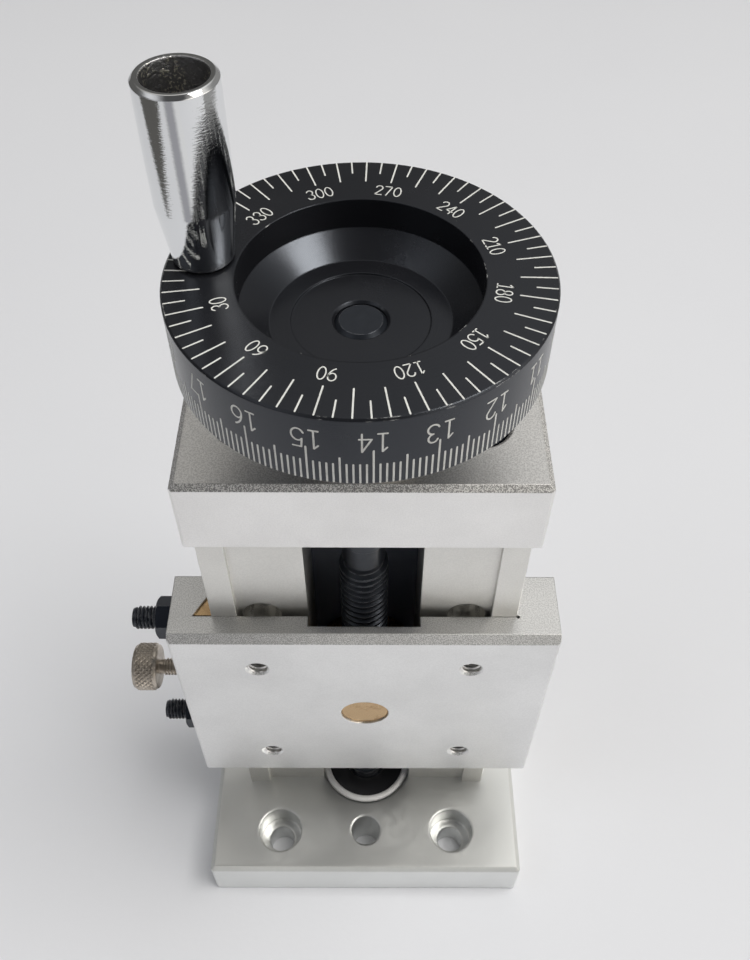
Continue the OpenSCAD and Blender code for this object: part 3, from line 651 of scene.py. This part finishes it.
def threaded_spindle():
    """Lead screw with its trapezoidal thread, plain neck, journals and bevelled ends."""
    low, high, _ = span("lead_screw")
    screw_r = high.x
    thread_depth = 1.0
    root_r = screw_r - thread_depth
    neck_r = 4.3
    shoulder_r = 4.7
    journal_r = 4.0
    thread_low = 14.8
    thread_high = 113.45
    shoulder_low = 120.0
    shoulder_high = span("upper_inner_rings")[0].z
    pitch = 2.0
    foot_round = 0.8
    neck_round = 0.3
    edge_round = 0.2
    end_bevel = 0.7
    neck_top = thread_high + 0.5
    shoulder_edge = shoulder_low + 0.4
    ridge_low = thread_low + 1
    ridge_high = thread_high - 0.6
    core = turned(rounded([
        (0, low.z, 0), (journal_r, low.z, foot_round), (journal_r, thread_low, 0),
        (root_r, thread_low, edge_round), (root_r, thread_high, 0), (neck_r, neck_top, edge_round),
        (neck_r, shoulder_low, neck_round), (shoulder_r, shoulder_edge, 0),
        (shoulder_r, shoulder_high, edge_round), (journal_r, shoulder_high, 0),
        (journal_r, high.z - end_bevel, 0), (journal_r - end_bevel, high.z, 0), (0, high.z, 0)
    ]))
    ridge = thread_ridge(root_r, screw_r, pitch, ridge_low, ridge_high, count=48)
    dress("threaded_spindle", [core, ridge], "lead_screw")


# Cap screw sizes: radius and height of the head, radius of the shank, width of the socket
M5_CAP = (4.25, 5.0, 2.5, 4.0)
M6_CAP = (5.0, 6.0, 3.0, 5.0)


def cap_screw(head_r, head_h, shank_r, shank_len, socket_w):
    """Shell of a cap screw with a knurled head and a hexagon socket, its head standing on z = 0."""
    facets = 216
    teeth = 36
    knurl_depth = 0.12
    edge = 0.35
    tip_bevel = 0.4
    seat_bevel = 0.15
    mouth_bevel = 0.15
    drill_point = 0.5

    def knurled(angle):
        return head_r - knurl_depth * abs(math.sin(angle * teeth / 2))

    socket = hexagon(socket_w)
    mouth = socket_w / 2 / math.cos(TURN / 12) + mouth_bevel
    socket_floor = head_h - head_h / 2
    return turned([
        (0, -shank_len), (shank_r - tip_bevel, -shank_len), (shank_r, tip_bevel - shank_len),
        (shank_r, 0), (head_r - seat_bevel, 0), (knurled, seat_bevel),
        (knurled, head_h - edge - 0.1), (head_r - 0.1, head_h - edge), (head_r - edge, head_h - 0.08),
        (head_r - edge - 0.2, head_h), (mouth, head_h), (socket, head_h - mouth_bevel),
        (socket, socket_floor), (0, socket_floor - drill_point)
    ], facets)


def cap_screws(name, node, size, rows, head_up):
    """Cap screws at both sides of a node's box, one pair for each place in rows along Y."""
    head_r, head_h, shank_r, socket_w = size
    low, high, _ = span(node)
    screw = cap_screw(head_r, head_h, shank_r, high.z - low.z - head_h, socket_w)
    shells = []
    for x in (low.x + head_r, high.x - head_r):
        for y in rows:
            if head_up:
                place = Matrix.Translation((x, y, high.z - head_h))
            else:
                place = Matrix.Translation((x, y, low.z + head_h)) @ Matrix.Rotation(math.pi, 4, "X")
            shells.append(moved(screw, place))
    dress(name, shells, node)


def block_cap_screws():
    """The two screws in the top of the bearing block."""
    _, _, middle = span("block_screws")
    cap_screws("block_cap_screws", "block_screws", M6_CAP, [middle.y], head_up=True)


def base_cap_screws():
    """The four screws under the base, with their heads down."""
    low, high, _ = span("base_screws")
    head_r = M5_CAP[0]
    rows = [low.y + head_r, high.y - head_r]
    cap_screws("base_cap_screws", "base_screws", M5_CAP, rows, head_up=False)


def laid_left(tip_x, y, z):
    """Matrix that lays a screw along -X, which was turned along Z from its tip."""
    return Matrix.Translation((tip_x, y, z)) @ Matrix.Rotation(-math.pi / 2, 4, "Y")


def adjusting_screws():
    """The gib's two threaded screws, with a socket in their outer ends."""
    low, high, middle = span("gib_screws")
    length = high.x - low.x
    outer_r = (high.y - low.y) / 2
    pitch = 0.8
    thread_depth = 0.42
    root_r = outer_r - thread_depth
    tip_r = 1.8
    tip_len = 3.0
    tip_round = 0.3
    end_round = 0.25
    facets = 72
    socket = hexagon(outer_r)
    mouth = outer_r / 2 + 0.35
    mouth_bevel = 0.15
    socket_floor = length - 2.5
    drill_point = 0.4
    rod = rounded([
        (0, 0, 0), (tip_r, 0, tip_round), (tip_r, tip_len, 0),
        (root_r, tip_len, 0), (root_r, length, end_round),
    ])
    hollow = [(mouth, length), (socket, length - mouth_bevel), (socket, socket_floor),
              (0, socket_floor - drill_point)]
    core = turned(rod + hollow, facets)
    ridge = thread_ridge(root_r, outer_r, pitch, tip_len + 0.5, length - 0.45, count=36)
    shells = []
    for z in (low.z + outer_r, high.z - outer_r):
        shells += [moved(shell, laid_left(high.x, middle.y, z)) for shell in (core, ridge)]
    dress("adjusting_screws", shells, "gib_screws")


def thumb_screw():
    """Lock screw with a threaded shank and a knob with a crossed knurl."""
    low, high, middle = span("lock_screw")
    length = high.x - low.x
    knob_r = (high.z - low.z) / 2
    knob_len = 6.2
    knob_short = 0.5
    knob_z = length - knob_len
    top = length - knob_short
    shank_r = 2.0
    root_r = 1.66
    pitch = 0.7
    point_r = 1.75
    point_len = 3.0
    point_round = 0.3
    facets = 360
    rim = 0.95
    rim_round = 0.5
    rim_gap = 0.15
    teeth = 26
    lead = 2.6
    knurl_depth = 0.28
    knurl_rows = 56
    knurl_flat = 1.6

    def wave(turn):
        return abs(2 * (turn % 1) - 1)

    def diamonds(height):
        def reach(angle):
            around = teeth * angle / TURN
            along = height / lead * 2
            peak = min(wave(around + along), wave(around - along))
            return knob_r - knurl_depth + knurl_depth * min(1, knurl_flat * peak)
        return reach

    knurl_low = knob_z + rim
    knurl_high = top - rim
    step = (knurl_high - knurl_low) / knurl_rows
    knurl = [(diamonds(knurl_low + step * row), knurl_low + step * row) for row in range(knurl_rows + 1)]
    collar_r = knob_r - knurl_depth
    body = rounded([
        (0, 0, 0), (point_r, 0, point_round), (point_r, point_len, 0), (root_r, point_len, 0),
        (root_r, knob_z, 0), (collar_r - 0.2, knob_z, rim_round), (collar_r, knurl_low - rim_gap, 0)
    ])
    crown = rounded([(collar_r, knurl_high + rim_gap, 0), (collar_r - 0.25, top, rim_round), (0, top, 0)])
    core = turned(body + knurl + crown, facets)
    ridge = thread_ridge(root_r, shank_r, pitch, point_len + 0.5, knob_z - 0.9, count=32)
    shells = [moved(shell, laid_left(high.x, middle.y, middle.z)) for shell in (core, ridge)]
    dress("thumb_screw", shells, "lock_screw")


def chromed_sleeve():
    """Chromed sleeve with a coned foot, a slight barrel and a bevelled rim."""
    low, high, middle = span("handle_sleeve")
    height = high.z - low.z
    foot_r = 4.5
    widest_r = (high.x - low.x) / 2
    top_r = 5.68
    bore_r = 4.45
    bore_depth = 17.0
    seat_h = height - bore_depth
    inner_r = 3.05
    cone_h = 9.5
    lip = 0.5
    barrel = 0.06
    barrel_round = 5.0
    foot_round = 0.35
    mouth_round = 0.3
    facets = 128
    profile = rounded([
        (inner_r, 0, 0), (foot_r, 0, foot_round), (widest_r - barrel, cone_h, foot_round),
        (widest_r, (cone_h + height) / 2, barrel_round), (top_r, height - lip, 0.1),
        (top_r - lip, height, 0.16), (bore_r, height, mouth_round),
        (bore_r, seat_h, 0), (inner_r, seat_h, 0)
    ], steps=9)
    place = Matrix.Translation((middle.x, middle.y, low.z))
    sleeve = moved(turned(profile, facets, ring=True), place)
    dress("chromed_sleeve", [sleeve], "handle_sleeve")


def bearing_ring():
    """Outer ring of the lower bearing with rounded rims."""
    low, high, _ = span("lower_outer_ring")
    outer = high.x
    wall = 1.9
    inner = outer - wall
    rim = 1.3
    facets = 128
    profile = rounded([(inner, low.z, 0.3), (outer, low.z, rim), (outer, high.z, rim), (inner, high.z, 0.4)])
    dress("bearing_ring", [turned(profile, facets, ring=True)], "lower_outer_ring")


def tapped_threads():
    """Thread in the tapped holes of the carriage front."""
    bolts = mount("carriage_bolts")
    centre = Vector(bolts["pos_m"]) / MM
    half_x = bolts["dims"]["spacing_x_mm"] / 2
    half_z = bolts["dims"]["spacing_y_mm"] / 2
    hole_r = bolts["dims"]["hole_r_mm"]
    low, _, _ = span("carriage_plate")
    pitch = 0.8
    ridge_depth = 0.34
    mouth = 0.55
    length = 5.4
    ridge = thread_ridge(hole_r, hole_r - ridge_depth, pitch, mouth, length, count=32)
    into_face = Matrix.Rotation(-math.pi / 2, 4, "X")
    shells = []
    for x in (centre.x - half_x, centre.x + half_x):
        for z in (centre.z - half_z, centre.z + half_z):
            shells.append(moved(ridge, Matrix.Translation((x, low.y, z)) @ into_face))
    piece("tapped_threads", shells, "carriage", "matte_aluminium", CUT_THREAD)


# Dial figures: single strokes in a box one unit tall

def arc(x, y, rx, ry, first, last, steps=14):
    """Points on an ellipse between two angles in degrees."""
    points = []
    for step in range(steps + 1):
        angle = math.radians(first + (last - first) * step / steps)
        points.append((x + rx * math.cos(angle), y + ry * math.sin(angle)))
    return points


def flipped(strokes, width):
    """Strokes turned upside down in their box."""
    return [[(width - x, 1 - y) for x, y in stroke] for stroke in strokes]


FIGURE_W = 0.47
ONE_W = 0.38
SIX = [arc(0.235, 0.3, 0.235, 0.3, 0, 360, 24), arc(0.52, 0.3, 0.52, 0.72, 180, 110, 10)]
FIGURES = {
    "0": [arc(0.235, 0.5, 0.235, 0.5, 0, 360, 28)],
    "1": [[(0.03, 0.8), (0.2, 1)], [(0.2, 1), (0.2, 0)], [(0.02, 0), (0.38, 0)]],
    "2": [arc(0.235, 0.74, 0.22, 0.26, 170, -28, 12) + [(0.02, 0)], [(0.02, 0), (0.47, 0)]],
    "3": [arc(0.23, 0.76, 0.2, 0.24, 160, -90, 14), arc(0.23, 0.26, 0.235, 0.26, 90, -160, 14)],
    "4": [[(0.37, 0), (0.37, 1)], [(0.37, 1), (0, 0.29)], [(0, 0.29), (0.48, 0.29)]],
    "5": [[(0.43, 1), (0.09, 1)], [(0.09, 1), (0.05, 0.54)],
          [(0.05, 0.54)] + arc(0.22, 0.33, 0.25, 0.33, 122, -158, 16)],
    "6": SIX,
    "7": [[(0, 1), (0.46, 1)], [(0.46, 1), (0.15, 0)]],
    "8": [arc(0.235, 0.76, 0.18, 0.24, 0, 360, 22), arc(0.235, 0.26, 0.235, 0.26, 0, 360, 24)],
    "9": flipped(SIX, FIGURE_W),
}
# Skin and hidden underside of the paint, and the steps in degrees round a stroke's end
PAINT_TOP = 0.015
PAINT_SUNK = -0.05
ROUND_END = (25, 50, 70, 84)


def ribbon(points, width, place):
    """Shell of a painted stroke with round ends, laid on a surface by place(u, v, lift)."""
    path = [Vector(point) for point in points]
    closed = (path[0] - path[-1]).length < 1e-6
    if closed:
        path.pop()
    half = width / 2
    sections = []
    for index, point in enumerate(path):
        before = path[index - 1] if index or closed else None
        after = path[(index + 1) % len(path)] if index < len(path) - 1 or closed else None
        into = (point - before).normalized() if before else (after - point).normalized()
        out = (after - point).normalized() if after else into
        along = (into + out).normalized()
        across = Vector((-along.y, along.x)) * half / max(0.5, along.dot(into))
        sections.append((point, across, along))
    if not closed:
        first, last = sections[0], sections[-1]
        for angle in ROUND_END:
            reach = half * math.sin(math.radians(angle))
            narrow = math.cos(math.radians(angle))
            sections.insert(0, (first[0] - first[2] * reach, first[1] * narrow, first[2]))
            sections.append((last[0] + last[2] * reach, last[1] * narrow, last[2]))
    corners = []
    for point, across, _ in sections:
        left = point + across
        right = point - across
        corners += [place(left.x, left.y, PAINT_TOP), place(right.x, right.y, PAINT_TOP),
                    place(right.x, right.y, PAINT_SUNK), place(left.x, left.y, PAINT_SUNK)]
    faces = []
    count = len(sections)
    for index in range(count if closed else count - 1):
        here = 4 * index
        after = 4 * ((index + 1) % count)
        for side in range(4):
            follow = (side + 1) % 4
            faces.append((here + side, here + follow, after + follow, after + side))
    if not closed:
        faces += [(0, 1, 2, 3), tuple(4 * (count - 1) + side for side in range(4))]
    return corners, faces


def number(text, height, gap, stroke, place):
    """Shells of a number centred on u = 0, v = 0."""
    widths = [(ONE_W if figure == "1" else FIGURE_W) * height for figure in text]
    u = -(sum(widths) + gap * (len(text) - 1)) / 2
    shells = []
    for figure, width in zip(text, widths):
        for line in FIGURES[figure]:
            points = [(u + x * height, (y - 0.5) * height) for x, y in line]
            shells.append(ribbon(points, stroke, place))
        u += width + gap
    return shells


def dial_marks():
    """Painted marks of the wheel: degrees on its top, and steps of 0.01 mm round its side."""
    _, high, _ = span("handwheel")
    rim_r = high.x
    rim_h = 12.7
    rim_bevel = 0.3
    top_z = high.z
    low_edge = high.z - rim_h
    top_zero = 168.55
    side_zero = 166.0

    def on_top(azimuth, radius):
        angle = math.radians(azimuth)
        out = Vector((math.cos(angle), math.sin(angle), 0))
        right = Vector((math.sin(angle), -math.cos(angle), 0))
        return lambda u, v, lift: tuple(out * (radius + v) + right * u + Vector((0, 0, top_z + lift)))

    def on_side(azimuth, z, flip):
        def place(u, v, lift):
            angle = math.radians(azimuth) + flip * u / rim_r
            return ((rim_r + lift) * math.cos(angle), (rim_r + lift) * math.sin(angle), z + flip * v)
        return place

    top = []
    line_w = 0.24
    long_start = 22.9
    short_start = 25.1
    line_end = rim_r - rim_bevel - 0.1
    number_r = 20.6
    for degrees in range(0, 360, 5):
        line_start = short_start if degrees % 10 else long_start
        place = on_top(top_zero + degrees, 0)
        top.append(ribbon([(0, line_start), (0, line_end)], line_w, place))
    for degrees in range(0, 360, 30):
        place = on_top(top_zero + degrees, number_r)
        top += number(str(degrees), height=2.3, gap=0.38, stroke=0.19, place=place)
    side = []
    divisions = 200
    numbered = 20
    tick_w = 0.28
    tick_foot = 0.45
    tick_tops = ((10, 6.85), (5, 5.4), (1, 4.15))
    for step in range(divisions):
        tick_top = next(top_h for every, top_h in tick_tops if step % every == 0)
        place = on_side(side_zero - step * 360 / divisions, low_edge, 1)
        side.append(ribbon([(0, tick_foot), (0, tick_top)], tick_w, place))
    figure_z = low_edge + 8.4
    for count in range(numbered):
        place = on_side(side_zero - count * 360 / numbered, figure_z, -1)
        side += number(str(count), height=3.4, gap=0.8, stroke=0.27, place=place)
    piece("dial_top_marks", top, "spindle", "black_anodised", dial_paint("dial_paint", 0.72))
    # The side marks wear a darker copy of the top marks' paint: painted shade for the wheel's less lit side
    piece("dial_side_marks", side, "spindle", "black_anodised", dial_paint("side_paint_shaded", 0.68))


threaded_spindle()
block_cap_screws()
base_cap_screws()
adjusting_screws()
thumb_screw()
chromed_sleeve()
bearing_ring()
tapped_threads()
dial_marks()


# Stage: pale floor, soft light and camera

def flat_card(name, corners, height, material, seen=True):
    """A flat sheet of the stage through corners of (x, y), which the camera may not see."""
    mesh = bpy.data.meshes.new(name)
    mesh.from_pydata([(x, y, height) for x, y in corners], [], [tuple(range(len(corners)))])
    mesh.materials.append(material)
    card = bpy.data.objects.new(name, mesh)
    card.visible_camera = seen
    card.visible_shadow = seen
    card.visible_diffuse = seen
    bpy.context.scene.collection.objects.link(card)


def matte(tree, shader, tone):
    """Dull paint in a tone, with a fine tooth."""
    normal = bumped(tree, noise(tree, 700.0, 3.0), 0.00004)
    feed(tree, shader, Base_Color=tone, Roughness=0.8, Normal=normal)


def card_paint(name, first, second):
    """Dull paint of a card, in two close tones."""
    material, tree, shader = finish(name)
    matte(tree, shader, blended(tree, noise(tree, 6.0, 3.0), first, second))
    return material


def fading_paint(name, pale, dark, eye, heading, spread):
    """Dull paint that darkens towards one heading, seen from a point of the floor."""
    material, tree, shader = finish(name)
    x, y, _ = split(tree, own_place(tree))
    right = maths(tree, "SUBTRACT", x, eye[0])
    forward = maths(tree, "SUBTRACT", eye[1], y)
    way = maths(tree, "ARCTAN2", right, forward)
    off = maths(tree, "ABSOLUTE", maths(tree, "SUBTRACT", way, heading))
    matte(tree, shader, blended(tree, stepped(tree, off, spread, 0.3 * spread), pale, dark))
    return material


# Point that the lamps are turned to
LAMP_TARGET = Vector((0, 0, 0.1))


def lamp(name, place, size, power, colour, mirrored):
    """A square soft light, for mirroring surfaces alone or for matte ones alone."""
    light = bpy.data.lights.new(name, "AREA")
    light.shape = "SQUARE"
    light.size = size
    light.energy = power
    light.color = colour
    made = bpy.data.objects.new(name, light)
    made.location = place
    made.rotation_euler = (LAMP_TARGET - Vector(place)).to_track_quat("-Z", "Y").to_euler()
    made.visible_glossy = mirrored
    made.visible_diffuse = not mirrored
    bpy.context.scene.collection.objects.link(made)


def room():
    """World light: behind a wall that pales to the right and upwards, in front pale sides."""
    world = bpy.data.worlds.new("room")
    bpy.context.scene.world = world
    world.use_nodes = True
    tree = world.node_tree
    x, y, z = split(tree, add(tree, "ShaderNodeTexCoord").outputs["Generated"])
    right = stepped(tree, x, -0.03, 0.15)
    low_wall = blended(tree, right, (0.11, 0.108, 0.103), (0.26, 0.257, 0.25))
    high_wall = blended(tree, right, (0.69, 0.675, 0.645), (1.08, 1.075, 1.055))
    behind = blended(tree, stepped(tree, z, 0.45, 1.0), low_wall, high_wall)
    aside = stepped(tree, maths(tree, "ABSOLUTE", x), 0.25, 0.7)
    aside = maths(tree, "MULTIPLY", aside, stepped(tree, x, -0.92, -0.72))
    side = stepped(tree, x, -0.3, 0.3)
    low_panes = blended(tree, side, (0.45, 0.455, 0.465), (1.6, 1.54, 1.44))
    panes = blended(tree, side, (0.7, 0.7, 0.71), (1.05, 1.01, 0.95))
    horizon = blended(tree, aside, (0.1, 0.1, 0.105), low_panes)
    ceiling = blended(tree, aside, (0.08, 0.08, 0.08), panes)
    before = blended(tree, stepped(tree, z, 0.3, 0.6), horizon, ceiling)
    colour = blended(tree, stepped(tree, y, -0.15, 0.35), before, behind)
    scattered = add(tree, "ShaderNodeLightPath").outputs["Is Diffuse Ray"]
    strength = raised(tree, 1.0, scattered, -0.3)
    feed(tree, tree.nodes["Background"], Color=colour, Strength=strength)


def photo_camera():
    """Camera at the photograph's viewing angle, for an image of 750 x 960."""
    focal_px = 970.6
    image_h = 960
    tilt = math.radians(90 - 50.74)
    turn = math.radians(-0.02)
    roll = math.radians(0.18)
    data = bpy.data.cameras.new("camera")
    data.sensor_fit = "VERTICAL"
    data.sensor_height = 36
    data.lens = data.sensor_height * focal_px / image_h
    data.clip_start = 0.01
    camera = bpy.data.objects.new("camera", data)
    camera.location = (0.002125, -0.110313, 0.271777)
    aim = Matrix.Rotation(turn, 3, "Z") @ Matrix.Rotation(tilt, 3, "X") @ Matrix.Rotation(roll, 3, "Z")
    camera.rotation_euler = aim.to_euler()
    bpy.context.scene.collection.objects.link(camera)
    bpy.context.scene.camera = camera


FLOOR_Z = -0.0002
CARD_Z = 0.0005
flat_card("floor", [(-4, -4), (4, -4), (4, 4), (-4, 4)], FLOOR_Z,
          card_paint("pale_floor", (0.75, 0.755, 0.785), (0.79, 0.795, 0.82)))
# Dark cards beside the picture, which only the metal mirrors
flat_card("left_card", [(-0.285, -0.062), (-1.2, 0.48), (-1.2, -0.36), (-0.285, -0.36)], CARD_Z,
          card_paint("brown_card", (0.09, 0.087, 0.082), (0.12, 0.116, 0.11)), seen=False)
lilac_paint = fading_paint("lilac_card", (0.78, 0.785, 0.8), (0.36, 0.36, 0.39),
                           eye=(-0.023, 0.004), heading=-0.24, spread=0.3)
flat_card("front_card", [(0.03, -0.2), (0.1, -0.7), (-0.4, -0.7), (-0.14, -0.2)], CARD_Z,
          lilac_paint, seen=False)
flat_card("right_card", [(0.34, -0.09), (1.2, -0.2), (1.2, 0.6), (0.34, 0.25)], CARD_Z,
          card_paint("grey_card", (0.27, 0.27, 0.27), (0.33, 0.33, 0.33)), seen=False)
lamp("key", (0.52, -0.1, 1.55), size=0.85, power=16.6, colour=(0.985, 0.977, 0.955), mirrored=False)
lamp("window", (0.72, -0.14, 1.42), size=0.5, power=9.5, colour=(1.0, 0.97, 0.91), mirrored=True)
lamp("fill", (-0.8, -0.19, 1.38), size=0.8, power=3.4, colour=(0.95, 0.975, 1.0), mirrored=False)
room()
photo_camera()
bpy.context.scene.view_settings.view_transform = "Standard"
